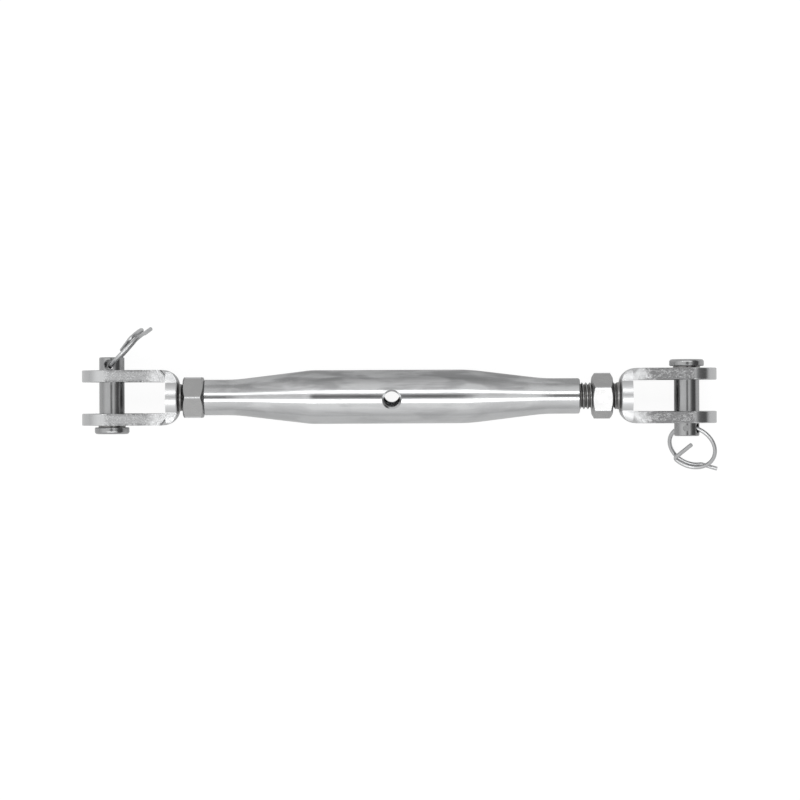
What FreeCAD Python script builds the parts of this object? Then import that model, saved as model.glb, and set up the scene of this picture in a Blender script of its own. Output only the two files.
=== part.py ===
import FreeCAD, Part
import math
import os
import re

import Sketcher

# A closed body turnbuckle with a fork, a lock nut, a clevis pin and a ring at each end.
# The frame: +X runs along the object, +Y along the clevis pins and +Z up, away from the
# surface that it lies on. The origin is the middle of the body, in its cross hole.

# Driving sizes, in millimetres and degrees
SIZES = {
    "thread_diameter": 12.0,
    "thread_clearance": 0.05,
    "tube_length": 167.3,
    "tube_neck_diameter": 15.8,
    "tube_barrel_diameter": 23.9,
    "tube_neck_length_left": 14.35,
    "tube_neck_length_right": 16.05,
    "tube_taper_length": 33.2,
    "tube_neck_blend_radius": 70.0,
    "tube_barrel_blend_radius_left": 30.0,
    "tube_barrel_blend_radius_right": 88.0,
    "tube_barrel_wall": 3.0,
    "tube_thread_depth": 24.0,
    "tube_edge": 0.5,
    "cross_hole_diameter": 7.0,
    "cross_hole_chamfer": 0.9,
    "cross_hole_angle": 6.4,
    "nut_across_flats": 18.0,
    "nut_height": 9.2,
    "nut_face_share": 0.93,
    "nut_mouth": 0.6,
    "nut_edge": 0.35,
    "nut_gap_left": 0.0,
    "nut_gap_right": 5.4,
    "nut_left_angle": 0.0,
    "nut_right_angle": -20.0,
    "fork_gap_left": 2.25,
    "fork_gap_right": 3.55,
    "jaw_width": 13.9,
    "jaw_depth": 24.55,
    "jaw_corner": 0.6,
    "jaw_outer_corner": 6.8,
    "cheek_thickness": 5.35,
    "cheek_width": 26.6,
    "cheek_edge": 0.45,
    "base_thickness": 5.05,
    "base_radius": 12.2,
    "base_edge": 0.4,
    "base_turned_length": 5.3,
    "shoulder_height": 4.0,
    "shoulder_radius": 18.4,
    "spigot_diameter": 10.0,
    "spigot_clearance": 0.05,
    "weld_leg": 1.2,
    "stud_length": 84.0,
    "stud_end_chamfer": 1.2,
    "pin_diameter": 11.2,
    "pin_clearance": 0.08,
    "pin_end": 5.8,
    "pin_end_chamfer": 0.4,
    "pin_head_diameter": 15.4,
    "pin_head_height": 3.0,
    "pin_head_round": 1.2,
    "pin_head_lip": 0.5,
    "pin_collar_diameter": 12.1,
    "pin_collar_height": 0.8,
    "pin_left_angle": -8.3,
    "pin_right_angle": 66.0,
    "ring_hole_diameter": 4.2,
    "ring_hole_from_end": 3.5,
    "ring_hole_chamfer": 0.35,
    "drill_mark_diameter": 2.8,
    "drill_mark_depth": 0.9,
    "drill_mark_angle": -105.7,
    "ring_wire": 1.8,
    "ring_radius": 10.7,
    "ring_climb": 2.0,
    "ring_start_angle": 141.3,
    "ring_wound_angle": 347.0,
    "ring_leg_bend": 1.25,
    "ring_leg": 10.8,
    "ring_tuck_radius": 10.3,
    "ring_tuck_angle": 70.0,
    "ring_run": 0.8,
    "ring_tail_bend": 3.0,
    "ring_tail_angle": 25.0,
    "ring_tail": 6.6,
    "ring_left_swing_angle": 43.8,
    "ring_right_swing_angle": 33.7,
    "ring_left_tilt_angle": 6.2,
    "ring_right_tilt_angle": 1.6,
    "ring_slide_left": 0.2,
    "ring_slide_right": -0.7,
}

X = FreeCAD.Vector(1, 0, 0)
Y = FreeCAD.Vector(0, 1, 0)
Z = FreeCAD.Vector(0, 0, 1)
ORIGIN = FreeCAD.Vector(0, 0, 0)

# How near an edge has to be to count as lying in a place
NEAR = 0.02

# Lengths that other pieces share, as expressions on the driving sizes
JAW_HALF = "jaw_width / 2"
CHEEK_OUT = "(jaw_width / 2 + cheek_thickness)"
TIP = "cheek_width / 2"
BASE = "(jaw_depth + base_thickness)"
PIN_FREE_END = "(jaw_width / 2 + cheek_thickness + pin_end)"
RING_HOLE = "(jaw_width / 2 + cheek_thickness + pin_end - ring_hole_from_end)"

doc = FreeCAD.newDocument("turnbuckle")
sheet = doc.addObject("Spreadsheet::Sheet", "sizes")
for row, (alias, number) in enumerate(SIZES.items(), start=1):
    sheet.set(f"A{row}", alias)
    sheet.set(f"B{row}", str(number))
    sheet.setAlias(f"B{row}", alias)
doc.recompute()

ALIASES = re.compile(r"\b(" + "|".join(SIZES) + r")\b")


def bound(expression):
    """The expression with each size read from the sheet."""
    return ALIASES.sub(r"sizes.\1", expression)


def value(expression):
    """The number that an expression on the sizes has now."""
    found = sheet.evalExpression(expression)
    return float(getattr(found, "Value", found))


def bind(thing, name, expression):
    """Ties a property to the sheet."""
    thing.setExpression(name, bound(expression))


def plane_of(body, role):
    """One of the body's own origin planes or axes."""
    return next(f for f in body.Origin.OriginFeatures if f.Role == role)


def sketch_on(body, name, role):
    """An empty sketch on an origin plane of the body."""
    sketch = body.newObject("Sketcher::SketchObject", name)
    sketch.AttachmentSupport = [(plane_of(body, role), "")]
    sketch.MapMode = "FlatFace"
    return sketch


def pin_down(sketch, geometry, end, across, along):
    """Holds one end of a line or arc at a place given by two expressions."""
    for kind, axis, expression in (("DistanceX", -2, across), ("DistanceY", -1, along)):
        now = value(expression)
        if abs(now) < 1e-9:
            sketch.addConstraint(Sketcher.Constraint("PointOnObject", geometry, end, axis))
        else:
            index = sketch.addConstraint(Sketcher.Constraint(kind, -1, 1, geometry, end, now))
            sketch.setExpression(f"Constraints[{index}]", bound(expression))


def arc_between(start, end, radius, left):
    """The short arc from start to end, turning left or right, drawn anticlockwise."""
    chord = end - start
    side = FreeCAD.Vector(-chord.y, chord.x, 0).normalize() * (1 if left else -1)
    rise = math.sqrt(max(radius**2 - (chord.Length / 2) ** 2, 0))
    centre = start + chord / 2 + side * rise
    first, last = (start, end) if left else (end, start)
    from_angle = math.atan2(first.y - centre.y, first.x - centre.x)
    to_angle = math.atan2(last.y - centre.y, last.x - centre.x)
    if to_angle < from_angle:
        to_angle += 2 * math.pi
    return Part.ArcOfCircle(Part.Circle(centre, Z, radius), from_angle, to_angle)


def outline(sketch, corners):
    """Closes an outline through its corners. A corner is two expressions for its place and,
    where an arc leaves it, the arc's radius and left or right for the way that it turns."""
    points = [FreeCAD.Vector(value(c[0]), value(c[1]), 0) for c in corners]
    ends = []
    for i, corner in enumerate(corners):
        start, end = points[i], points[(i + 1) % len(points)]
        if len(corner) == 2:
            sketch.addGeometry(Part.LineSegment(start, end))
            ends.append((1, 2))
        else:
            left = corner[3] == "left"
            sketch.addGeometry(arc_between(start, end, value(corner[2]), left))
            ends.append((1, 2) if left else (2, 1))
    for i, corner in enumerate(corners):
        after = (i + 1) % len(corners)
        sketch.addConstraint(
            Sketcher.Constraint("Coincident", i, ends[i][1], after, ends[after][0])
        )
        pin_down(sketch, i, ends[i][0], corner[0], corner[1])
        if len(corner) == 4:
            index = sketch.addConstraint(Sketcher.Constraint("Radius", i, value(corner[2])))
            sketch.setExpression(f"Constraints[{index}]", bound(corner[2]))


def circle(sketch, diameter, across="0", along="0"):
    """A circle of a bound diameter at a bound place."""
    centre = FreeCAD.Vector(value(across), value(along), 0)
    sketch.addGeometry(Part.Circle(centre, Z, value(diameter) / 2))
    pin_down(sketch, 0, 3, across, along)
    index = sketch.addConstraint(Sketcher.Constraint("Diameter", 0, value(diameter)))
    sketch.setExpression(f"Constraints[{index}]", bound(diameter))


def feature(body, kind, name, sketch, **settings):
    """A PartDesign feature on a sketch."""
    made = body.newObject("PartDesign::" + kind, name)
    made.Profile = sketch
    for setting, chosen in settings.items():
        setattr(made, setting, chosen)
    return made


def pad(body, name, sketch, length):
    """A pad of a bound length, half on each side of its sketch."""
    made = feature(body, "Pad", name, sketch, Midplane=True)
    bind(made, "Length", length)
    doc.recompute()
    return made


def cut(body, kind, name, sketch, **settings):
    """A pocket or groove that must take something away."""
    before = body.Shape.Volume
    made = feature(body, kind, name, sketch, **settings)
    doc.recompute()
    if body.Shape.Volume > before - 1e-6:
        raise RuntimeError(f"{name} takes nothing away")
    return made


def cut_through(body, name, sketch):
    """A pocket through everything on both sides of its sketch."""
    return cut(body, "Pocket", name, sketch, Type="ThroughAll", Midplane=True)


def turned(body, name, sketch, axis):
    """A full turn of a profile about one of the sketch's axes."""
    made = feature(body, "Revolution", name, sketch, ReferenceAxis=(sketch, [axis]), Angle=360)
    doc.recompute()
    return made


def edges_where(shape, test):
    """The names of the edges that pass a test."""
    return [f"Edge{i}" for i, edge in enumerate(shape.Edges, start=1) if test(edge)]


def dressed(body, kind, name, test, expression):
    """A fillet or chamfer of a bound size on the body's edges that pass a test."""
    base = body.Tip
    names = edges_where(base.Shape, test)
    if not names:
        raise RuntimeError(f"{name} finds no edge")
    made = body.newObject("PartDesign::" + kind, name)
    made.Base = (base, names)
    bind(made, "Radius" if kind == "Fillet" else "Size", expression)
    doc.recompute()
    return made


def is_circle(edge, radius, along=None, where=None):
    """Is the edge a circle of this radius, at this place along an axis if one is given?"""
    curve = edge.Curve
    if not isinstance(curve, Part.Circle) or abs(curve.Radius - radius) > NEAR:
        return False
    return along is None or abs(curve.Center.dot(along) - where) < NEAR


def within(edge, across, along, middle=0.0):
    """Does the edge lie near the Z axis, in a box of these half widths in X and in Y?"""
    box = edge.BoundBox
    return (
        max(abs(box.XMin), abs(box.XMax)) < across
        and max(abs(box.YMin - middle), abs(box.YMax - middle)) < along
    )


def is_low(edge, half):
    """Does the edge keep within this distance of the plane of X and Z?"""
    return max(abs(edge.BoundBox.YMin), abs(edge.BoundBox.YMax)) < half


def new_body(label):
    """A body whose label names its piece."""
    body = doc.addObject("PartDesign::Body", label)
    body.Label = label
    return body


# The body: a tube swaged down to a threaded neck at each end
def body_tube(label):
    body = new_body(label)
    half = "tube_length / 2"
    neck_out = "tube_neck_diameter / 2"
    barrel_out = "tube_barrel_diameter / 2"
    neck_in = "(thread_diameter / 2 + thread_clearance)"
    barrel_in = "(tube_barrel_diameter / 2 - tube_barrel_wall)"
    thread_end = "(tube_length / 2 - tube_thread_depth)"
    slope = "atan((tube_barrel_diameter - tube_neck_diameter) / 2 / tube_taper_length)"
    profile = sketch_on(body, "tube_profile", "XY_Plane")
    corners = []
    for name, sign in (("right", ""), ("left", "-")):
        taper_out = f"tube_length / 2 - tube_neck_length_{name}"
        barrel_end = f"{taper_out} - tube_taper_length"
        neck_blend = "tube_neck_blend_radius"
        barrel_blend = "tube_barrel_blend_radius_" + name
        neck_run = f"{neck_blend} * tan({slope} / 2)"
        barrel_run = f"{barrel_blend} * tan({slope} / 2)"
        inside = [
            (f"{sign}({barrel_end})", barrel_in),
            (sign + thread_end, neck_in),
            (sign + half, neck_in),
            (sign + half, neck_out),
        ]
        on_neck = (f"{sign}({taper_out} + {neck_run})", neck_out)
        off_neck = (
            f"{sign}({taper_out} - {neck_run} * cos({slope}))",
            f"{neck_out} + {neck_run} * sin({slope})",
        )
        off_barrel = (
            f"{sign}({barrel_end} + {barrel_run} * cos({slope}))",
            f"{barrel_out} - {barrel_run} * sin({slope})",
        )
        on_barrel = (f"{sign}({barrel_end} - {barrel_run})", barrel_out)
        if name == "right":
            corners += inside
            corners += [on_neck + (neck_blend, "right"), off_neck]
            corners += [off_barrel + (barrel_blend, "left"), on_barrel]
        else:
            corners += [on_barrel + (barrel_blend, "left"), off_barrel]
            corners += [off_neck + (neck_blend, "right"), on_neck]
            corners += inside[::-1]
    outline(profile, corners)
    turned(body, "tube_turned", profile, "H_Axis")
    end, rim = value(half), value(neck_out)
    dressed(
        body,
        "Chamfer",
        "neck_edges",
        lambda e: is_circle(e, rim) and abs(abs(e.Curve.Center.x) - end) < NEAR,
        "tube_edge",
    )
    hole = sketch_on(body, "cross_hole_sketch", "XY_Plane")
    circle(hole, "cross_hole_diameter")
    cut_through(body, "cross_hole", hole)
    middle_of_wall = value("(tube_barrel_diameter - tube_barrel_wall) / 2")
    reach = value("cross_hole_diameter / 2") + NEAR
    dressed(
        body,
        "Chamfer",
        "cross_hole_edges",
        lambda e: within(e, reach, reach) and abs(e.CenterOfMass.z) > middle_of_wall,
        "cross_hole_chamfer",
    )
    body.Placement = FreeCAD.Placement(ORIGIN, FreeCAD.Rotation(X, value("cross_hole_angle")))
    return body


# A hexagon nut with both faces chamfered, its near face at the body's origin
def lock_nut(label, side, gap, angle):
    body = new_body(label)
    flat = "nut_across_flats / 2"
    corner = "(nut_across_flats / 2 / cos(30))"
    half_corner = "(nut_across_flats / 4 / cos(30))"
    plan = sketch_on(body, label + "_hexagon", "YZ_Plane")
    outline(
        plan,
        [
            ("0", corner),
            ("-" + flat, half_corner),
            ("-" + flat, "-" + half_corner),
            ("0", "-" + corner),
            (flat, "-" + half_corner),
            (flat, half_corner),
        ],
    )
    pad(body, label + "_block", plan, "nut_height")
    dressed(body, "Fillet", label + "_edges", lambda e: e.BoundBox.XLength > NEAR, "nut_edge")
    face = "(nut_across_flats / 2 * nut_face_share)"
    past = "(nut_across_flats / 2 / cos(30) + 1)"
    run = "((nut_across_flats / 2 / cos(30) + 1 - nut_across_flats / 2 * nut_face_share) * tan(30))"
    for sign, which in (("", "outer"), ("-", "inner")):
        crown = sketch_on(body, f"{label}_{which}_crown", "XY_Plane")
        outline(
            crown,
            [
                (sign + "nut_height / 2", face),
                (sign + "nut_height / 2", past),
                (f"{sign}(nut_height / 2 - {run})", past),
            ],
        )
        cut(
            body,
            "Groove",
            f"{label}_{which}_chamfer",
            crown,
            ReferenceAxis=(crown, ["H_Axis"]),
            Angle=360,
        )
    bore = sketch_on(body, label + "_bore_sketch", "YZ_Plane")
    circle(bore, "thread_diameter + 2 * thread_clearance")
    cut_through(body, label + "_bore", bore)
    radius = value("thread_diameter / 2 + thread_clearance")
    dressed(body, "Chamfer", label + "_mouths", lambda e: is_circle(e, radius), "nut_mouth")
    place = X * side * value(f"tube_length / 2 + {gap} + nut_height / 2")
    body.Placement = FreeCAD.Placement(place, FreeCAD.Rotation(X, value(angle)))
    return body


def fork_place(side, gap, nut_gap):
    """Where the fork's pin lies, and the turn that points its base at the body."""
    along = value(f"tube_length / 2 + {nut_gap} + nut_height + {gap} + {BASE}")
    return FreeCAD.Placement(X * side * along, FreeCAD.Rotation(Y, 180 if side > 0 else 0))


# The fork: a flat bar bent to a U about the pin, with the pin's centre at the origin,
# its base turned down to a boss behind a shoulder, and its tips rounded about the pin
def fork(label, place):
    body = new_body(label)
    side_view = sketch_on(body, label + "_side", "XZ_Plane")
    outline(
        side_view,
        [
            ("0", TIP, TIP, "left"),
            ("-" + TIP, "0", TIP, "left"),
            ("0", "-" + TIP),
            (BASE, "-" + TIP),
            (BASE, TIP),
        ],
    )
    pad(body, label + "_block", side_view, "2 * " + CHEEK_OUT)
    base, out = value(BASE), value(CHEEK_OUT)
    dressed(
        body,
        "Fillet",
        label + "_corners",
        lambda e: abs(e.CenterOfMass.x - base) < NEAR and abs(abs(e.CenterOfMass.y) - out) < NEAR,
        "jaw_outer_corner",
    )
    inside = value("jaw_depth")
    dressed(
        body,
        "Fillet",
        label + "_outer_edges",
        lambda e: e.BoundBox.XLength > NEAR
        or (e.BoundBox.YLength > NEAR and e.BoundBox.XMin > inside),
        "cheek_edge",
    )
    gap = sketch_on(body, label + "_gap_sketch", "XY_Plane")
    outline(
        gap,
        [
            (f"-({TIP} + 1)", JAW_HALF),
            (f"-({TIP} + 1)", "-" + JAW_HALF),
            ("jaw_depth - jaw_corner", "-" + JAW_HALF, "jaw_corner", "left"),
            ("jaw_depth", "-(jaw_width / 2 - jaw_corner)"),
            ("jaw_depth", "jaw_width / 2 - jaw_corner", "jaw_corner", "left"),
            ("jaw_depth - jaw_corner", JAW_HALF),
        ],
    )
    cut_through(body, label + "_gap", gap)
    half, rim = value(JAW_HALF) + NEAR, value(TIP) - NEAR
    dressed(
        body,
        "Fillet",
        label + "_inner_edges",
        lambda e: is_low(e, half) and (e.BoundBox.XLength > NEAR or abs(e.CenterOfMass.z) > rim),
        "cheek_edge",
    )
    lathe = sketch_on(body, label + "_lathe_sketch", "XY_Plane")
    outline(
        lathe,
        [
            (BASE + " + 1", "base_radius - base_edge"),
            (BASE + " + 1", "shoulder_radius + 1"),
            (BASE + " - base_turned_length - shoulder_height", "shoulder_radius + 1"),
            (BASE + " - base_turned_length - shoulder_height", "shoulder_radius"),
            (BASE + " - base_turned_length", "base_radius"),
            (BASE + " - base_edge", "base_radius"),
            (BASE, "base_radius - base_edge"),
        ],
    )
    cut(body, "Groove", label + "_lathe", lathe, ReferenceAxis=(lathe, ["H_Axis"]), Angle=360)
    eye = sketch_on(body, label + "_eye_sketch", "XZ_Plane")
    circle(eye, "pin_diameter + 2 * pin_clearance")
    cut_through(body, label + "_eye", eye)
    seat = sketch_on(body, label + "_seat_sketch", "YZ_Plane")
    circle(seat, "spigot_diameter + 2 * spigot_clearance")
    cut_through(body, label + "_seat", seat)
    body.Placement = place
    return body


# The threaded rod, welded into the fork, in the fork's own frame
def stud(label, place):
    body = new_body(label)
    profile = sketch_on(body, label + "_profile", "XY_Plane")
    shank = "thread_diameter / 2"
    far = f"({BASE} + stud_length)"
    outline(
        profile,
        [
            ("jaw_depth", "0"),
            (far, "0"),
            (far, "thread_diameter / 2 - stud_end_chamfer"),
            (far + " - stud_end_chamfer", shank),
            (f"({BASE} + weld_leg)", shank, "weld_leg", "left"),
            (BASE, "thread_diameter / 2 + weld_leg"),
            (BASE, "spigot_diameter / 2"),
            ("jaw_depth", "spigot_diameter / 2"),
        ],
    )
    turned(body, label + "_turned", profile, "H_Axis")
    body.Placement = place
    return body


# The clevis pin, with its free end towards its own +Y and its cross hole along its own Z
def clevis_pin(label, place):
    body = new_body(label)
    shank = "pin_diameter / 2"
    profile = sketch_on(body, label + "_profile", "XY_Plane")
    head_top = f"-({CHEEK_OUT} + pin_collar_height + pin_head_height)"
    under_head = f"-({CHEEK_OUT} + pin_collar_height)"
    outline(
        profile,
        [
            ("0", head_top),
            ("pin_head_diameter / 2", head_top),
            ("pin_head_diameter / 2", under_head),
            ("pin_collar_diameter / 2", under_head),
            ("pin_collar_diameter / 2", "-" + CHEEK_OUT),
            (shank, "-" + CHEEK_OUT),
            (shank, PIN_FREE_END + " - pin_end_chamfer"),
            ("pin_diameter / 2 - pin_end_chamfer", PIN_FREE_END),
            ("0", PIN_FREE_END),
        ],
    )
    turned(body, label + "_turned", profile, "V_Axis")
    rim = value("pin_head_diameter / 2")
    for name, height, size in (
        ("_head_round", head_top, "pin_head_round"),
        ("_head_lip", under_head, "pin_head_lip"),
    ):
        at = value(height)
        dressed(body, "Fillet", label + name, lambda e: is_circle(e, rim, Y, at), size)
    hole = sketch_on(body, label + "_ring_hole_sketch", "XY_Plane")
    circle(hole, "ring_hole_diameter", "0", RING_HOLE)
    cut_through(body, label + "_ring_hole", hole)
    centre = value(RING_HOLE)
    reach = value("ring_hole_diameter / 2") + NEAR
    dressed(
        body,
        "Chamfer",
        label + "_ring_hole_edges",
        lambda e: within(e, reach, reach, centre) and abs(e.CenterOfMass.z) > reach,
        "ring_hole_chamfer",
    )
    mark = sketch_on(body, label + "_drill_mark_sketch", "XY_Plane")
    turn = FreeCAD.Rotation(Y, value("drill_mark_angle"))
    floor = turn.multVec(Z) * value("pin_diameter / 2 - drill_mark_depth")
    mark.AttachmentOffset = FreeCAD.Placement(floor, turn)
    circle(mark, "drill_mark_diameter", "0", RING_HOLE)
    bored = cut(body, "Pocket", label + "_drill_mark", mark, Type="Length", Reversed=True)
    bind(bored, "Length", "2 * drill_mark_depth")
    body.Placement = place
    return body


def tangent_arc(start, along, inward, radius, angle):
    """An arc that leaves start along one direction and turns towards another.
    Returns the edge, its end, and its direction and inward normal there."""
    centre = start + inward * radius

    def at(turned_by):
        across, ahead = math.cos(math.radians(turned_by)), math.sin(math.radians(turned_by))
        return centre - inward * (radius * across) + along * (radius * ahead)

    across, ahead = math.cos(math.radians(angle)), math.sin(math.radians(angle))
    edge = Part.Arc(start, at(angle / 2), at(angle)).toShape()
    return edge, at(angle), along * across + inward * ahead, inward * across - along * ahead


# The line that the ring's wire follows: a leg from the middle, a left-hand turn that climbs
# past its own start, and an end that tucks inside the first turn and runs out as a tail
def ring_line():
    radius, climb = value("ring_radius"), value("ring_climb")
    slope = climb / (2 * math.pi * radius)

    def on_turn(angle):
        """The place, direction and inward normal where the turn passes an angle."""
        c, s = math.cos(math.radians(angle)), math.sin(math.radians(angle))
        climbed = climb * (value("ring_start_angle") - angle) / 360
        ahead = FreeCAD.Vector(s, -c, slope).normalize()
        return FreeCAD.Vector(radius * c, radius * s, climbed), ahead, FreeCAD.Vector(-c, -s, 0)

    start, ahead, inward = on_turn(value("ring_start_angle"))
    bend, leg_start, back, _ = tangent_arc(start, ahead * -1, inward, value("ring_leg_bend"), 90)
    leg = Part.LineSegment(leg_start, leg_start + back * value("ring_leg")).toShape()
    turn = Part.makeHelix(climb, value("ring_climb * ring_wound_angle / 360"), radius, 0, True)
    turn.rotate(ORIGIN, Z, value("ring_start_angle"))
    end, ahead, inward = on_turn(value("ring_start_angle - ring_wound_angle"))
    tuck, end, ahead, inward = tangent_arc(
        end, ahead, inward, value("ring_tuck_radius"), value("ring_tuck_angle")
    )
    run_end = end + ahead * value("ring_run")
    run = Part.LineSegment(end, run_end).toShape()
    kick, end, ahead, _ = tangent_arc(
        run_end, ahead, inward * -1, value("ring_tail_bend"), value("ring_tail_angle")
    )
    tail = Part.LineSegment(end, end + ahead * value("ring_tail")).toShape()
    return Part.Wire([leg, bend, *turn.Edges, tuck, run, kick, tail]), leg.lastVertex().Point, back


# The cotter ring, hooked through the pin's cross hole. It swings about the hole, tilts as
# far as its slack in the hole lets it, and lies a little way along the hole.
def cotter_ring(label, pin_place, name):
    line, leg_end, leg_way = ring_line()
    path = doc.addObject("Part::Feature", label + "_line")
    path.Shape = line
    section = doc.addObject("Part::Circle", label + "_section")
    bind(section, "Radius", "ring_wire / 2")
    section.Placement = FreeCAD.Placement(leg_end, FreeCAD.Rotation(Z, leg_way))
    ring = doc.addObject("Part::Sweep", label)
    ring.Label = label
    ring.Sections = [section]
    ring.Spine = (path, [f"Edge{i}" for i in range(1, len(line.Edges) + 1)])
    ring.Solid = True
    ring.Frenet = False
    swing = math.radians(value(f"ring_{name}_swing_angle"))
    away = Y * math.cos(swing) + X * math.sin(swing)
    climb = X * math.cos(swing) - Y * math.sin(swing)
    radius, pin_radius = value("ring_radius"), value("pin_diameter / 2")
    bow = radius - math.sqrt(radius**2 - pin_radius**2)
    climbed = value("ring_climb * (ring_start_angle + 90) / 360")
    centre = away * (radius - bow / 2) - climb * climbed + Z * value("ring_slide_" + name)
    hung = FreeCAD.Placement(centre, FreeCAD.Rotation(Z * -1, away, climb, "XYZ"))
    tilt = FreeCAD.Rotation(away, value(f"ring_{name}_tilt_angle"))
    hole = FreeCAD.Placement(Y * value(RING_HOLE), tilt)
    ring.Placement = pin_place.multiply(hole).multiply(hung)
    return ring


def pin_place(fork_at, side, angle):
    """The pin in its fork: the left one's free end is up in +Y, the right one's down in -Y."""
    upturned = FreeCAD.Rotation(X, 180 if side > 0 else 0)
    return FreeCAD.Placement(fork_at.Base, FreeCAD.Rotation(Y, value(angle)).multiply(upturned))


pieces = [body_tube("body_tube")]
for name, side in (("left", -1), ("right", 1)):
    fork_at = fork_place(side, "fork_gap_" + name, "nut_gap_" + name)
    pin_at = pin_place(fork_at, side, f"pin_{name}_angle")
    pieces += [
        lock_nut("locknut_" + name, side, "nut_gap_" + name, f"nut_{name}_angle"),
        fork("fork_" + name, fork_at),
        stud("stud_" + name, fork_at),
        clevis_pin("clevis_pin_" + name, pin_at),
        cotter_ring("cotter_ring_" + name, pin_at, name),
    ]
doc.recompute()

# Every object has to be sound before anything is written
for thing in doc.Objects:
    if {"Invalid", "Error"} & set(thing.State):
        raise RuntimeError(f"{thing.Label} failed: {thing.State}")
for piece in pieces:
    if piece.Shape.isNull() or not piece.Shape.isValid() or len(piece.Shape.Solids) != 1:
        raise RuntimeError(f"{piece.Label} is not one valid solid")

os.makedirs("parts", exist_ok=True)
for piece in pieces:
    piece.Shape.exportStep(f"parts/{piece.Label}.step")
    print(piece.Label, round(piece.Shape.Volume, 1), "mm3")
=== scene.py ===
import math

import bmesh
import bpy
from bpy.props import FloatProperty, FloatVectorProperty, IntProperty, PointerProperty
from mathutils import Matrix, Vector


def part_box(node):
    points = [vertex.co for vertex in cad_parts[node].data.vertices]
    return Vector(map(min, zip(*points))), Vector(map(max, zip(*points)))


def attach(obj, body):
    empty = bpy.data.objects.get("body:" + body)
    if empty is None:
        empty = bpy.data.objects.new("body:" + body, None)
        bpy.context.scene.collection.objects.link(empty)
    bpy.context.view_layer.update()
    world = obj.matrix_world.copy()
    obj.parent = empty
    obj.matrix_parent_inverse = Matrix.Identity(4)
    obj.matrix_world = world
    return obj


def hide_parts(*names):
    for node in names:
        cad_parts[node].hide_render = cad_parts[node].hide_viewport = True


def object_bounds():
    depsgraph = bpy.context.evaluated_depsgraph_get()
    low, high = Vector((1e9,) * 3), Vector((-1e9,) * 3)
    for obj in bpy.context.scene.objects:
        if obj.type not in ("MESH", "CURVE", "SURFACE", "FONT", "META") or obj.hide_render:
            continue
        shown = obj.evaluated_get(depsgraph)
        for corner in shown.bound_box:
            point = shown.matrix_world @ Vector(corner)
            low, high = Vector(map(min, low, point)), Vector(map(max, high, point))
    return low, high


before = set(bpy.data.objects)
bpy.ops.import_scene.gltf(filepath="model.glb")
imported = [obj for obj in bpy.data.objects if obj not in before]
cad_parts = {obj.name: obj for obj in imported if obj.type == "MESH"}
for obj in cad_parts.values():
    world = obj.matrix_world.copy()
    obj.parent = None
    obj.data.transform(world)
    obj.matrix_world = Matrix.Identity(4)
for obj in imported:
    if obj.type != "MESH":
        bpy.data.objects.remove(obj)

bl_info = {
    "name": "Closed body turnbuckle",
    "version": (1, 0, 0),
    "blender": (4, 5, 0),
    "location": "View3D > Sidebar > Turnbuckle",
    "description": "Finishes the steel of a closed body turnbuckle and cuts its threads",
    "category": "Object",
}

SIDES = ("left", "right")
SOLID_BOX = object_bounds()
FLOOR = SOLID_BOX[0].z
MM = 0.001


# Sizes and colours that a user would change

class ThreadSizes(bpy.types.PropertyGroup):
    """The thread of both studs"""

    radius: FloatProperty(
        name="Crest radius", description="From the axis to the thread's crest",
        default=5.97 * MM, subtype="DISTANCE", unit="LENGTH", precision=5,
    )
    root: FloatProperty(
        name="Root radius", description="From the axis to the bottom of the groove",
        default=5.08 * MM, subtype="DISTANCE", unit="LENGTH", precision=5,
    )
    pitch: FloatProperty(
        name="Pitch", description="How far one turn climbs",
        default=1.75 * MM, subtype="DISTANCE", unit="LENGTH", precision=5,
    )
    shank: FloatProperty(
        name="Shank radius", description="Radius of the plain run where the thread begins",
        default=5.99 * MM, subtype="DISTANCE", unit="LENGTH", precision=5,
    )
    plain: FloatProperty(
        name="Plain run", description="From the weld to the beginning of the thread",
        default=0.1 * MM, subtype="DISTANCE", unit="LENGTH", precision=5,
    )
    run_in: FloatProperty(
        name="Run-in", description="Turns that the thread takes to reach its full depth",
        default=0.8, min=0.1,
    )
    spigot: FloatProperty(
        name="Spigot radius", description="Radius of the end that goes through the fork's base",
        default=5.0 * MM, subtype="DISTANCE", unit="LENGTH", precision=5,
    )
    weld: FloatProperty(
        name="Weld", description="Leg of the weld between the rod and the fork's base",
        default=1.2 * MM, subtype="DISTANCE", unit="LENGTH", precision=5,
    )
    chamfer: FloatProperty(
        name="Chamfer", description="Chamfer at the rod's far end",
        default=1.2 * MM, subtype="DISTANCE", unit="LENGTH", precision=5,
    )
    steps: IntProperty(
        name="Steps", description="Faces round one turn of the thread", default=56, min=12,
    )


class SteelColours(bpy.types.PropertyGroup):
    """The colours of the polished and dull steel"""

    bright: FloatVectorProperty(
        name="Bright steel", description="Colour of clean polished steel",
        default=(0.60, 0.605, 0.61), subtype="COLOR", min=0, max=1,
    )
    clouded: FloatVectorProperty(
        name="Clouded steel", description="Colour of the body's darker patches",
        default=(0.28, 0.283, 0.286), subtype="COLOR", min=0, max=1,
    )
    tumbled: FloatVectorProperty(
        name="Tumbled steel", description="Colour in the dents of the forks' rough faces",
        default=(0.2, 0.2, 0.203), subtype="COLOR", min=0, max=1,
    )
    thread: FloatVectorProperty(
        name="Thread root", description="Colour at the bottom of the thread",
        default=(0.17, 0.166, 0.162), subtype="COLOR", min=0, max=1,
    )
    turned: FloatVectorProperty(
        name="Turned steel", description="Colour of the clevis pins",
        default=(0.45, 0.452, 0.455), subtype="COLOR", min=0, max=1,
    )
    nut: FloatVectorProperty(
        name="Nut", description="Colour of the nuts",
        default=(0.42, 0.42, 0.418), subtype="COLOR", min=0, max=1,
    )


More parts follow.
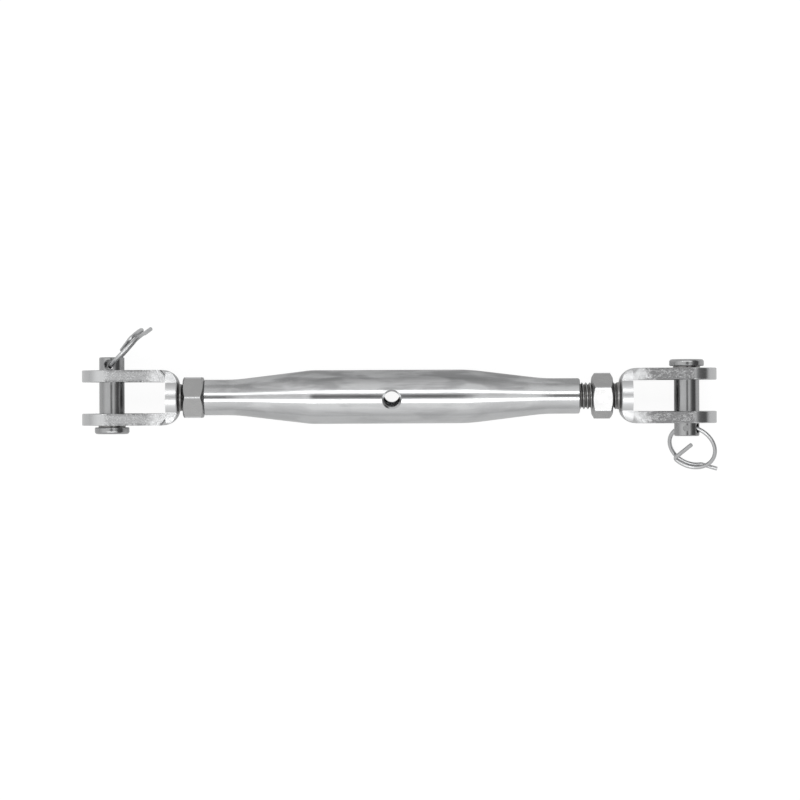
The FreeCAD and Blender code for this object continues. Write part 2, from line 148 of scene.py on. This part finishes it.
class StudioSizes(bpy.types.PropertyGroup):
    """The camera and the lights"""

    lens: FloatProperty(
        name="Lens", description="Focal length of the camera, in millimetres", default=135.0,
    )
    distance: FloatProperty(
        name="Distance", description="From the camera to the screw's axis",
        default=1.337, subtype="DISTANCE", unit="LENGTH",
    )
    centre: FloatVectorProperty(
        name="Centre", description="The point of the axis plane in the middle of the picture",
        default=(3.65 * MM, -1.49 * MM, 0), subtype="XYZ", unit="LENGTH", precision=5,
    )
    turn: FloatProperty(
        name="Turn", description="How far the camera is rolled",
        default=math.radians(-0.26), subtype="ANGLE", unit="ROTATION",
    )
    panel_light: FloatProperty(
        name="Panel light", description="Radiance of the two panels above the object", default=2.6,
    )
    panel_height: FloatProperty(
        name="Panel height", description="How high the two panels hang",
        default=1.2, subtype="DISTANCE", unit="LENGTH",
    )
    panel_length: FloatProperty(
        name="Panel length", description="How long the two panels are",
        default=1.8, subtype="DISTANCE", unit="LENGTH",
    )
    backdrop: FloatProperty(
        name="Backdrop", description="Share of the floor that the camera sees as plain white",
        default=0.83, min=0, max=1,
    )
    backdrop_shine: FloatProperty(
        name="Backdrop in the steel", description="The same share where the steel reflects it",
        default=0.12, min=0, max=1,
    )
    backdrop_light: FloatProperty(
        name="Backdrop light", description="Radiance of that share, which brings the floor to white",
        default=1.12,
    )
    floor: FloatVectorProperty(
        name="Floor", description="Colour of the floor that the object lies on",
        default=(0.66, 0.66, 0.66), subtype="COLOR", min=0, max=1,
    )
    floor_reach: FloatProperty(
        name="Floor's reach", description="From the object's middle to the floor's sides",
        default=3.0, subtype="DISTANCE", unit="LENGTH",
    )


# Node trees written as sums

# Where a Mix node keeps its colours among its inputs and outputs
COLOUR_A = 6
COLOUR_B = 7
COLOUR_RESULT = 2


class Term:
    """A socket that adds Math nodes where Python's operators are used on it."""

    def __init__(self, tree, socket):
        self.tree = tree
        self.socket = socket

    def maths(self, operation, first, second=0.0):
        made = self.tree.node("ShaderNodeMath", {"operation": operation}, {0: first, 1: second})
        return made["Value"]

    def __add__(self, other):
        return self.maths("ADD", self, other)

    __radd__ = __add__

    def __sub__(self, other):
        return self.maths("SUBTRACT", self, other)

    def __rsub__(self, other):
        return self.maths("SUBTRACT", other, self)

    def __mul__(self, other):
        return self.maths("MULTIPLY", self, other)

    def __truediv__(self, other):
        return self.maths("DIVIDE", self, other)

    def __pow__(self, other):
        return self.maths("POWER", self, other)

    def __abs__(self):
        return self.maths("ABSOLUTE", self)

    def __gt__(self, other):
        return self.maths("GREATER_THAN", self, other)

    def __lt__(self, other):
        return self.maths("LESS_THAN", self, other)


class Outputs:
    """A node's outputs by name, as terms."""

    def __init__(self, tree, made):
        self.tree = tree
        self.made = made

    def __getitem__(self, name):
        return Term(self.tree, self.made.outputs[name])


class Tree:
    """A node tree that starts empty."""

    def __init__(self, owner):
        owner.use_nodes = True
        self.nodes = owner.node_tree.nodes
        self.links = owner.node_tree.links
        self.nodes.clear()

    def node(self, kind, settings=None, inputs=None):
        """A new node, its settings and what its inputs are linked or set to."""
        made = self.nodes.new(kind)
        for name, setting in (settings or {}).items():
            setattr(made, name, setting)
        for name, given in (inputs or {}).items():
            if isinstance(given, Term):
                self.links.new(given.socket, made.inputs[name])
            else:
                made.inputs[name].default_value = given
        return Outputs(self, made)

    def split(self, place):
        """A vector's X, Y and Z."""
        return self.node("ShaderNodeSeparateXYZ", {}, {"Vector": place})

    def noise(self, place, grains, detail=3.0, rough=0.5, bend=0.0):
        """Noise from 0 to 1, with its grains a metre in each direction."""
        spread = self.node(
            "ShaderNodeVectorMath", {"operation": "MULTIPLY"}, {0: place, 1: grains}
        )["Vector"]
        return self.node(
            "ShaderNodeTexNoise",
            {"noise_dimensions": "3D"},
            {
                "Vector": spread,
                "Scale": 1.0,
                "Detail": detail,
                "Roughness": rough,
                "Distortion": bend,
            },
        )["Fac"]

    def mingle(self, first, second, share):
        """Two noises in one, the second in a share."""
        return first * (1 - share) + second * share

    def stretch(self, value, low, high, start=0.0, end=1.0):
        """A value brought from one range to another, and kept in it."""
        return self.node(
            "ShaderNodeMapRange",
            {"interpolation_type": "SMOOTHSTEP"},
            {"Value": value, "From Min": low, "From Max": high, "To Min": start, "To Max": end},
        )["Result"]

    def blend(self, share, first, second):
        """Two colours mixed by a share."""
        mixed = self.node(
            "ShaderNodeMix",
            {"data_type": "RGBA"},
            {0: share, COLOUR_A: colour(first), COLOUR_B: colour(second)},
        )
        return Term(self, mixed.made.outputs[COLOUR_RESULT])

    def bump(self, height, depth, share=1.0, under=None):
        """Marks of a depth in metres, on top of others where there are some."""
        sockets = {"Strength": share, "Distance": depth, "Height": height}
        if under:
            sockets["Normal"] = under
        return self.node("ShaderNodeBump", {}, sockets)["Normal"]

    def metal(self, tint, roughness, normal):
        """The closing shader of a metal."""
        shader = self.node(
            "ShaderNodeBsdfPrincipled",
            {},
            {
                "Base Color": tint,
                "Metallic": 1.0,
                "Roughness": roughness,
                "Normal": normal,
            },
        )
        self.node("ShaderNodeOutputMaterial", {}, {"Surface": shader["BSDF"]})


def colour(given):
    """A colour with its alpha, or a term as it is."""
    return given if isinstance(given, Term) else (*given, 1.0)


def material(name):
    """A new material and its empty tree, with the object's own coordinates."""
    made = bpy.data.materials.new(name)
    tree = Tree(made)
    place = tree.node("ShaderNodeTexCoord")
    return made, tree, place


def dress(name, finish):
    """Gives a solid of the frame its finish."""
    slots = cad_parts[name].material_slots
    for one in slots:
        one.material = finish
    if not slots:
        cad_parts[name].data.materials.append(finish)


def dress_pair(kind, finish):
    """Gives the left and the right piece of a kind the same finish."""
    for side in SIDES:
        dress(kind + "_" + side, finish)


def off_axis(split):
    """How far a point is from the screw's axis."""
    return (split["Y"] ** 2 + split["Z"] ** 2) ** 0.5


# Finishes: each is dull steel in some share over bright steel, and depths are in millimetres

def body_finish(colours):
    """Satin steel in soft clouds, with smears along it, the fine rings of turning and painted shade
    along its back flank.
    """
    cloud_share, cloud_share_behind, back_shade_share = 0.26, 0.34, 0.45
    smear_share, streak_share, ring_share = 0.2, 0.12, 0.06
    streak_depth, ring_depth = 0.002, 0.012
    behind_start, behind_full = -2 * MM, 5 * MM
    back_shade_start, back_shade_full = 5 * MM, 11.5 * MM
    clear, cloudy = 0.36, 0.6
    smooth, cloud_roughness = 0.15, 0.14
    made, tree, place = material("body_steel")
    at = place["Object"]
    side = tree.split(at)["Y"]
    clouds = tree.noise(at, (55, 190, 190), detail=2.5, bend=0.3)
    smears = tree.noise(at, (40, 600, 600), detail=2)
    streaks = tree.noise(at, (130, 3200, 3200), detail=2)
    rings = tree.noise(at, (1500, 60, 60), rough=0.6)
    behind = tree.stretch(side, behind_start, behind_full)
    # Painted shade along the tube's back flank, darkest towards its back edge
    edge = tree.stretch(side, back_shade_start, back_shade_full)
    patches = tree.stretch(tree.mingle(clouds, smears, smear_share), clear, cloudy)
    marks = (1 - patches) * (cloud_share + behind * cloud_share_behind)
    dull = marks + edge * back_shade_share + streaks * streak_share + rings * ring_share
    tint = tree.blend(dull, colours.bright, colours.clouded)
    roughness = smooth + marks * cloud_roughness
    tree.metal(tint, roughness, tree.bump(rings * ring_depth + streaks * streak_depth, MM))
    return made


# How dull each fork is all over and in its specks, how much painted shade lines its edges,
# how much its bends are crowned, and how much of the turned base's slope its bends lose

FORK_LOOKS = {
    "left": {"wear": 0.15, "speckle": 0.42, "edges": 0.3, "crown": 0.028, "level": 1.35},
    "right": {"wear": 0.3, "speckle": 0.7, "edges": 0.5, "crown": 0.045, "level": 1.0},
}


def fork_finish(colours, side):
    """Tumbled flats that are crowned and polished where the bar turns into the base."""
    look = FORK_LOOKS[side]
    low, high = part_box("fork_" + side)
    corner = 6.8 * MM
    half_bar = 2.7 * MM
    flat_start, flat_full = 13.0 * MM, 13.25 * MM
    arm_start, arm_full = 0.9 * MM, 1.5 * MM
    crown_start, crown_full = -9 * MM, -7 * MM
    bend_start, bend_full = -7 * MM, -1 * MM
    base_start, base_full = 1 * MM, 2 * MM
    edge_shade_start, edge_shade_full = 1.3, 2.3
    upright_start, upright_full = 0.2, 0.4
    flat_crown = 0.012
    dent_share, grain_share, base_share, bend_polish = 0.3, 0.12, 0.12, 0.8
    clear, specked = 0.45, 0.53
    smooth, flat_roughness, grain_roughness = 0.18, 0.06, 0.05
    worn_roughness, bend_roughness, base_roughness = 0.1, 0.1, 0.1
    dent_depth, bend_dent_depth, grain_depth = 0.065, 0.13, 0.004
    made, tree, place = material("fork_steel_" + side)
    at = place["Object"]
    split = tree.split(at)
    flat = tree.stretch(abs(split["Z"]), flat_start, flat_full)
    upright = abs(tree.split(place["Normal"])["Z"])
    # How far a point is past the centre of the bend, towards the base and outwards
    if side == "left":
        bent = split["X"] - (high.x - corner)
    else:
        bent = (low.x + corner) - split["X"]
    beyond = bent.maths("MAXIMUM", bent, 0.0)
    outward = abs(split["Y"]) - (high.y - corner)
    off_middle = ((beyond ** 2 + outward ** 2) ** 0.5 - (corner - half_bar)) / MM
    bend = tree.stretch(bent, bend_start, bend_full)
    arm = tree.stretch(outward, arm_start, arm_full) * tree.stretch(bent, crown_start, crown_full)
    arm = arm * tree.stretch(upright, upright_start, upright_full)
    base = tree.stretch(bent, base_start, base_full) * (1 - arm)
    # Painted shade along both edges of the bar's flat top
    edge_shade = tree.stretch(abs(off_middle), edge_shade_start, edge_shade_full)
    dents = tree.noise(at, (1400, 1400, 1400), detail=4, rough=0.62, bend=0.4)
    clouds = tree.noise(at, (560, 760, 760), detail=4, rough=0.62, bend=0.8)
    grain = tree.noise(at, (2600, 2600, 2600), detail=2)
    worn = tree.stretch(tree.mingle(clouds, dents, dent_share), clear, specked)
    dull = look["wear"] + worn * look["speckle"] + edge_shade * look["edges"]
    dull = flat * (1 - bend * bend_polish) * dull + grain * grain_share + base * base_share
    tint = tree.blend(dull, colours.bright, colours.tumbled)
    roughness = smooth + flat * (flat_roughness + worn * worn_roughness)
    roughness = roughness + arm * bend * bend_roughness + base * base_roughness
    roughness = roughness + grain * grain_roughness
    # The arm keeps its flat top round the bend, crowned across its middle line
    crown = off_middle ** 2 * (flat_crown + bend * look["crown"])
    shaped = tree.bump(0.0 - (abs(split["Z"]) / MM * look["level"] + crown), MM, arm)
    marks = dents * (flat * dent_depth + arm * bend * bend_dent_depth) + grain * grain_depth
    tree.metal(tint, roughness, tree.bump(marks, MM, under=shaped))
    return made


def nut_finish(colours):
    """Dull faces, with a painted highlight along the corners."""
    cloud_share, line_share = 0.12, 0.12
    line_depth = 0.003
    corner_highlight_start, corner_highlight_full = 10.0 * MM, 10.25 * MM
    clear, cloudy = 0.36, 0.64
    smooth, cloud_roughness = 0.27, 0.02
    made, tree, place = material("nut_steel")
    at = place["Object"]
    # Painted highlight along the nut's corners
    corner = tree.stretch(off_axis(tree.split(at)), corner_highlight_start, corner_highlight_full)
    clouds = tree.noise(at, (260, 260, 260), detail=4, rough=0.6, bend=0.5)
    clouds = tree.stretch(clouds, clear, cloudy)
    lines = tree.noise(at, (400, 2800, 2800), detail=2)
    dull = tree.blend(clouds * cloud_share + lines * line_share, colours.nut, colours.clouded)
    tint = tree.blend(corner, dull, colours.bright)
    tree.metal(tint, smooth + clouds * cloud_roughness, tree.bump(lines * line_depth, MM))
    return made


def thread_finish(colours, sizes):
    """Threads that are dark at the bottom, with painted shade on the neck between the nut and the
    fork's base.
    """
    neck_shade_start, neck_shade_full, neck_shade_share = 91.5 * MM, 93.5 * MM, 0.6
    grime_share, grime_depth = 0.5, 0.01
    dark, bare = 0.25, 0.95
    rough, polish = 0.42, 0.16
    made, tree, place = material("thread_steel")
    at = place["Object"]
    split = tree.split(at)
    height = tree.stretch(off_axis(split), sizes.root, sizes.radius)
    grime = tree.noise(at, (700, 700, 700), rough=0.6)
    # Painted shade on the neck, between the nut and the fork's base
    neck_shade = tree.stretch(abs(split["X"]), neck_shade_start, neck_shade_full)
    shine = tree.stretch(height + (grime - 0.5) * grime_share, dark, bare)
    shine = shine * (1 - neck_shade * neck_shade_share)
    tint = tree.blend(shine, colours.thread, colours.nut)
    tree.metal(tint, rough - shine * polish, tree.bump(grime * grime_depth, MM))
    return made


def pin_finish(colours):
    """Turned steel with marks round it and along it, and painted shade in the groove under the head.
    """
    cloud_share, streak_share, lathe_share, collar_shade_share = 0.3, 0.35, 0.1, 0.85
    collar_shade_start, collar_shade_end = 12.2 * MM, 13.15 * MM
    smooth, cloud_roughness = 0.13, 0.1
    mark_depth = 0.003
    made, tree, place = material("pin_steel")
    at = place["Object"]
    lathe = tree.noise(at, (120, 4200, 120), detail=2, rough=0.6)
    streaks = tree.noise(at, (2400, 130, 2400), rough=0.6)
    clouds = tree.noise(at, (260, 260, 260), rough=0.55)
    split = tree.split(at)
    along = abs(split["Y"])
    # The left pin's head is in front and the right pin's behind
    at_head = split["X"] * split["Y"] > 0.0
    # Painted shade in the narrow groove between the head and the fork's cheek
    collar_shade = at_head * (along > collar_shade_start) * (along < collar_shade_end)
    dull = clouds * cloud_share + streaks * streak_share + lathe * lathe_share
    clean = tree.blend(dull, colours.turned, colours.clouded)
    tint = tree.blend(collar_shade * collar_shade_share, clean, colours.thread)
    marks = lathe * mark_depth + streaks * mark_depth
    tree.metal(tint, smooth + clouds * cloud_roughness, tree.bump(marks, MM))
    return made


def ring_finish(colours):
    """Drawn wire, a little clouded."""
    cloud_share, speck_share = 0.25, 0.2
    cloud_depth, speck_depth = 0.01, 0.006
    smooth, cloud_roughness = 0.24, 0.12
    made, tree, place = material("ring_steel")
    at = place["Object"]
    clouds = tree.noise(at, (350, 350, 350), rough=0.6)
    specks = tree.noise(at, (1500, 1500, 1500), rough=0.6)
    dull = clouds * cloud_share + specks * speck_share
    tint = tree.blend(dull, colours.bright, colours.clouded)
    marks = clouds * cloud_depth + specks * speck_depth
    tree.metal(tint, smooth + clouds * cloud_roughness, tree.bump(marks, MM))
    return made


# The screw thread

# One turn of the thread, as shares of the pitch and of the depth
THREAD_FORM = (
    (0.0, 1.0), (0.06, 1.0), (0.12, 0.93), (0.4, 0.1),
    (0.46, 0.0), (0.6, 0.0), (0.66, 0.1), (0.94, 0.93),
)
WELD_STEPS = 6
MERGE_DISTANCE = 0.001 * MM
SHARP_ANGLE = math.radians(40)


def stud_mesh(name, side, sizes):
    """A stud with its spigot, weld and thread, as one closed skin wound along its helix."""
    low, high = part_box("stud_" + side)
    fork_low, fork_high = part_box("fork_" + side)
    length = high.x - low.x
    if side == "left":
        way, start, seat = 1, low.x, fork_high.x - low.x
    else:
        way, start, seat = -1, high.x, high.x - fork_low.x
    pitch, crest, root, weld = sizes.pitch, sizes.radius, sizes.root, sizes.weld
    thread_start = seat + weld + sizes.plain
    made = bmesh.new()

    def row(along, radii):
        """A ring of points, each as far along and as far out as it is told."""
        points = []
        for step in range(sizes.steps):
            angle = -2 * math.pi * step / sizes.steps
            radius = radii[step]
            points.append(made.verts.new(
                (start + way * along[step], radius * math.cos(angle), radius * math.sin(angle))
            ))
        return points

    def plain_row(along, radius):
        """A ring that lies square to the axis."""
        return row([along] * sizes.steps, [radius] * sizes.steps)

    def join(one, two):
        """Faces all round between two rings."""
        for step in range(-1, sizes.steps - 1):
            made.faces.new((one[step], one[step + 1], two[step + 1], two[step]))

    # The spigot, the weld and the plain run are turned rings
    plain = [plain_row(0.0, sizes.spigot), plain_row(seat, sizes.spigot)]
    for step in range(WELD_STEPS + 1):
        turn = step / WELD_STEPS * math.pi / 2
        plain.append(plain_row(
            seat + weld * (1 - math.cos(turn)), sizes.shank + weld * (1 - math.sin(turn))
        ))
    for one, two in zip(plain, plain[1:]):
        join(one, two)
    # The thread's rows climb one pitch for each turn, and are held at both ends
    turns_past_end = 3
    turns = int((length - thread_start) / pitch) + turns_past_end
    rows = []
    for turn in range(-1, turns):
        for share, height in THREAD_FORM:
            along, radii = [], []
            for step in range(sizes.steps):
                here = thread_start + (turn + share + step / sizes.steps) * pitch
                cut = min(max((here - thread_start) / (sizes.run_in * pitch), 0.0), 1.0)
                full = root + (crest - root) * height
                here = min(max(here, thread_start), length)
                tip = crest - sizes.chamfer + length - here
                along.append(here)
                radii.append(min(sizes.shank + (full - sizes.shank) * cut, tip))
            rows.append(row(along, radii))
    join(plain[-1], rows[0])
    for place, (one, two) in enumerate(zip(rows, rows[1:])):
        for step in range(sizes.steps - 1):
            made.faces.new((one[step], one[step + 1], two[step + 1], two[step]))
        after = place + len(THREAD_FORM)
        if after + 1 < len(rows):
            made.faces.new((one[-1], rows[after][0], rows[after + 1][0], two[-1]))
    bmesh.ops.remove_doubles(made, verts=made.verts, dist=MERGE_DISTANCE)
    rims = [edge for edge in made.edges if edge.is_boundary]
    bmesh.ops.holes_fill(made, edges=rims, sides=0)
    bmesh.ops.recalc_face_normals(made, faces=made.faces)
    mesh = bpy.data.meshes.new(name)
    made.to_mesh(mesh)
    made.free()
    return mesh


# The steps that a user can run

class TURNBUCKLE_OT_body(bpy.types.Operator):
    """Finish the body in clouded satin steel"""

    bl_idname = "turnbuckle.body"
    bl_label = "Finish the body"

    def execute(self, context):
        dress("body_tube", body_finish(context.scene.turnbuckle_steel))
        return {"FINISHED"}


class TURNBUCKLE_OT_forks(bpy.types.Operator):
    """Finish both forks, tumbled on their flats and bright where they are turned"""

    bl_idname = "turnbuckle.forks"
    bl_label = "Finish the forks"

    def execute(self, context):
        for side in SIDES:
            dress("fork_" + side, fork_finish(context.scene.turnbuckle_steel, side))
        return {"FINISHED"}


class TURNBUCKLE_OT_nuts(bpy.types.Operator):
    """Finish both lock nuts"""

    bl_idname = "turnbuckle.nuts"
    bl_label = "Finish the nuts"

    def execute(self, context):
        dress_pair("locknut", nut_finish(context.scene.turnbuckle_steel))
        return {"FINISHED"}


class TURNBUCKLE_OT_studs(bpy.types.Operator):
    """Cut the threads, right-hand on the right and left-hand on the left"""

    bl_idname = "turnbuckle.studs"
    bl_label = "Cut the threads"

    def execute(self, context):
        sizes = context.scene.turnbuckle_thread
        finish = thread_finish(context.scene.turnbuckle_steel, sizes)
        for side in SIDES:
            name = "threaded_stud_" + side
            stud = bpy.data.objects.new(name, stud_mesh(name, side, sizes))
            context.scene.collection.objects.link(stud)
            stud.data.materials.append(finish)
            stud.data.shade_smooth()
            stud.data.set_sharp_from_angle(angle=SHARP_ANGLE)
            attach(stud, "fork_" + side)
            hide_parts("stud_" + side)
        return {"FINISHED"}


class TURNBUCKLE_OT_pins(bpy.types.Operator):
    """Finish both clevis pins"""

    bl_idname = "turnbuckle.pins"
    bl_label = "Finish the pins"

    def execute(self, context):
        dress_pair("clevis_pin", pin_finish(context.scene.turnbuckle_steel))
        return {"FINISHED"}


class TURNBUCKLE_OT_rings(bpy.types.Operator):
    """Finish both cotter rings"""

    bl_idname = "turnbuckle.rings"
    bl_label = "Finish the rings"

    def execute(self, context):
        dress_pair("cotter_ring", ring_finish(context.scene.turnbuckle_steel))
        return {"FINISHED"}


# The studio

# Each panel reaches between two angles from straight above, in degrees
PANELS = {"panel_back": (17, 27), "panel_front": (-12, -25)}
SENSOR_WIDTH = 36.0
CLIP_START = 0.01


def panel(name, low, high, sizes):
    """A long lamp above the object, between two angles from straight above."""
    height = sizes.panel_height
    near, far = height * math.tan(math.radians(low)), height * math.tan(math.radians(high))
    lamp = bpy.data.lights.new(name, "AREA")
    lamp.shape = "RECTANGLE"
    lamp.size = sizes.panel_length
    lamp.size_y = abs(far - near)
    lamp.energy = sizes.panel_light * math.pi * lamp.size * lamp.size_y
    made = bpy.data.objects.new(name, lamp)
    made.location = (0, (near + far) / 2, height)
    made.visible_camera = False
    bpy.context.scene.collection.objects.link(made)


def studio_world(scene):
    """A white room for the camera, and for the steel a pale tent that is dark on one side.

    Right, back and up are the ways to look, and each runs from -1 to 1.
    """
    shade_depth = 0.84
    spot_back = 0.03
    world = bpy.data.worlds.new("studio")
    scene.world = world
    tree = Tree(world)
    way = tree.split(tree.node("ShaderNodeTexCoord")["Generated"])
    right, back, up = way["X"], way["Y"], way["Z"]
    tent = tree.stretch(up, -0.1, 1.1, start=0.55, end=1.05)
    front = tree.stretch(back, -0.9, 0.1, start=1.2, end=1.0)
    front = front + tree.stretch(right, -0.95, -0.4, start=0.25, end=0.0)
    shade = tree.stretch(right, 0.25, 0.75) * tree.stretch(up, 0.05, 0.25)
    # Straight above hangs a dark spot, which is the camera seen in the steel
    off_centre = (right ** 2 + (back - spot_back) ** 2) ** 0.5
    spot = tree.stretch(off_centre, 0.07, 0.26, start=0.12, end=0.95)
    overhead = tree.stretch(up, 0.7, 0.8)
    level = tent * front * (1 - shade * shade_depth) * (1 - overhead * (1 - spot))
    camera = tree.node("ShaderNodeLightPath")["Is Camera Ray"]
    strength = level * (1 - camera) + camera
    room = tree.node("ShaderNodeBackground", {}, {"Color": (1, 1, 1, 1), "Strength": strength})
    tree.node("ShaderNodeOutputWorld", {}, {"Surface": room["Background"]})


def white_floor(scene, sizes):
    """A wide floor, part of which the camera and the steel see as plain white."""
    reach = sizes.floor_reach
    corners = [(x * reach, y * reach, FLOOR) for x, y in ((-1, -1), (1, -1), (1, 1), (-1, 1))]
    mesh = bpy.data.meshes.new("floor")
    mesh.from_pydata(corners, [], [(0, 1, 2, 3)])
    floor = bpy.data.objects.new("floor", mesh)
    scene.collection.objects.link(floor)
    made, tree, _ = material("floor_white")
    matt = tree.node("ShaderNodeBsdfDiffuse", {}, {"Color": (*sizes.floor, 1)})
    plain = tree.node("ShaderNodeEmission", {}, {"Strength": sizes.backdrop_light})
    path = tree.node("ShaderNodeLightPath")
    share = path["Is Camera Ray"] * sizes.backdrop + path["Is Glossy Ray"] * sizes.backdrop_shine
    both = tree.node(
        "ShaderNodeMixShader", {}, {0: share, 1: matt["BSDF"], 2: plain["Emission"]}
    )
    tree.node("ShaderNodeOutputMaterial", {}, {"Surface": both["Shader"]})
    mesh.materials.append(made)


def camera_above(scene, sizes):
    """A long lens that looks straight down on the object."""
    lens = bpy.data.cameras.new("camera")
    lens.lens = sizes.lens
    lens.sensor_width = SENSOR_WIDTH
    lens.clip_start = CLIP_START
    camera = bpy.data.objects.new("camera", lens)
    camera.location = Vector(sizes.centre) + Vector((0, 0, sizes.distance))
    camera.rotation_euler = (0, 0, sizes.turn)
    scene.collection.objects.link(camera)
    scene.camera = camera


class TURNBUCKLE_OT_stage(bpy.types.Operator):
    """Lay the floor, hang the lamps and set the camera above the object"""

    bl_idname = "turnbuckle.stage"
    bl_label = "Set the stage"

    def execute(self, context):
        scene = context.scene
        sizes = scene.turnbuckle_studio
        scene.view_settings.view_transform = "Standard"
        studio_world(scene)
        for name, (low, high) in PANELS.items():
            panel(name, low, high, sizes)
        white_floor(scene, sizes)
        camera_above(scene, sizes)
        return {"FINISHED"}


class TURNBUCKLE_PT_sidebar(bpy.types.Panel):
    """The turnbuckle's sizes, colours and steps"""

    bl_idname = "TURNBUCKLE_PT_sidebar"
    bl_label = "Turnbuckle"
    bl_space_type = "VIEW_3D"
    bl_region_type = "UI"
    bl_category = "Turnbuckle"

    def draw(self, context):
        scene = context.scene
        for group in (scene.turnbuckle_thread, scene.turnbuckle_steel, scene.turnbuckle_studio):
            for name in group.bl_rna.properties.keys():
                if name not in ("rna_type", "name"):
                    self.layout.prop(group, name)
        for step in STEPS:
            self.layout.operator(step.bl_idname)


STEPS = (
    TURNBUCKLE_OT_stage,
    TURNBUCKLE_OT_body,
    TURNBUCKLE_OT_forks,
    TURNBUCKLE_OT_nuts,
    TURNBUCKLE_OT_studs,
    TURNBUCKLE_OT_pins,
    TURNBUCKLE_OT_rings,
)
GROUPS = {
    "turnbuckle_thread": ThreadSizes,
    "turnbuckle_steel": SteelColours,
    "turnbuckle_studio": StudioSizes,
}


def register():
    for kind in (*GROUPS.values(), *STEPS, TURNBUCKLE_PT_sidebar):
        bpy.utils.register_class(kind)
    for name, kind in GROUPS.items():
        setattr(bpy.types.Scene, name, PointerProperty(type=kind))


def unregister():
    for name in GROUPS:
        delattr(bpy.types.Scene, name)
    for kind in (TURNBUCKLE_PT_sidebar, *STEPS, *GROUPS.values()):
        bpy.utils.unregister_class(kind)


def main():
    register()
    for step in STEPS:
        group, name = step.bl_idname.split(".")
        getattr(getattr(bpy.ops, group), name)()


if __name__ == "__main__":
    main()
